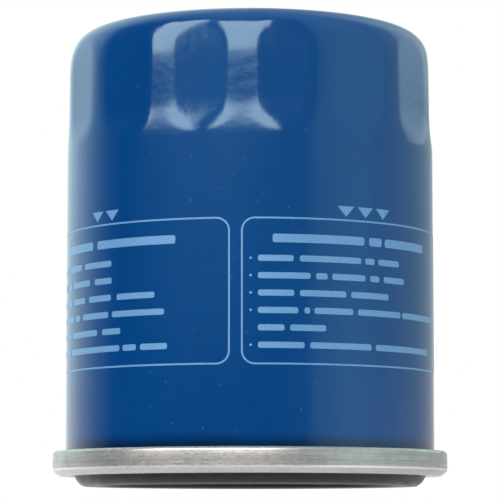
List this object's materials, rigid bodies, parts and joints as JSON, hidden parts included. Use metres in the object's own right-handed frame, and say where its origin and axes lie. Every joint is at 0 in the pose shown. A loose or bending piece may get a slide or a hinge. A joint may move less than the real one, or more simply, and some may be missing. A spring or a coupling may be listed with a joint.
{
  "type": "spin-on oil filter",
  "caption": "Spin-on engine oil filter: fluted blue steel can with rolled seam, rubber gasket, threaded base plate, pleated paper element and bypass valve.",
  "frame": {"origin": "centre of the gasket's flat sealing face", "axes": "+Z along the filter's axis, from the engine side to the closed end of the can"},
  "size_m": [0.0706, 0.0706, 0.0838],
  "materials": {
    "blue_paint": "gloss",
    "tin_plate": "satin",
    "zinc_plate": "satin",
    "cap_steel": "satin",
    "core_steel": "satin",
    "spring_steel": "satin",
    "gasket_rubber": "satin",
    "valve_rubber": "matte",
    "sealant": "matte",
    "adhesive": "matte",
    "paper": "matte"
  },
  "bodies": {
    "housing": {"can": "blue_paint", "seam_lid": "tin_plate", "seam_compound": "sealant", "mounting_gasket": "gasket_rubber", "base_plate": "zinc_plate", "element_seal": "valve_rubber", "hold_down_spring": "spring_steel"},
    "anti_drain": {"anti_drain_valve": "valve_rubber"},
    "element": {"lower_end_cap": "cap_steel", "lower_adhesive": "adhesive", "center_tube": "core_steel", "pleated_media": "paper", "media_seam_clip": "core_steel", "upper_adhesive": "adhesive", "upper_end_cap": "cap_steel", "bypass_cage": "core_steel", "bypass_spring": "spring_steel", "spring_seat": "core_steel"},
    "bypass_valve": {"bypass_seal": "valve_rubber", "bypass_poppet": "core_steel"}
  },
  "joints": [
    {"name": "anti_drain_lift", "type": "slide", "parent": "housing", "child": "anti_drain", "axis": [0, 0, 1], "range_m": [0, 0.0008]},
    {"name": "element_lift", "type": "slide", "parent": "housing", "child": "element", "axis": [0, 0, 1], "range_m": [0, 0.0015], "deforming": ["hold_down_spring"]},
    {"name": "bypass_open", "type": "slide", "parent": "element", "child": "bypass_valve", "axis": [0, 0, -1], "range_m": [0, 0.003], "stiffness_N_per_m": 2000, "deforming": ["bypass_spring"]}
  ]
}
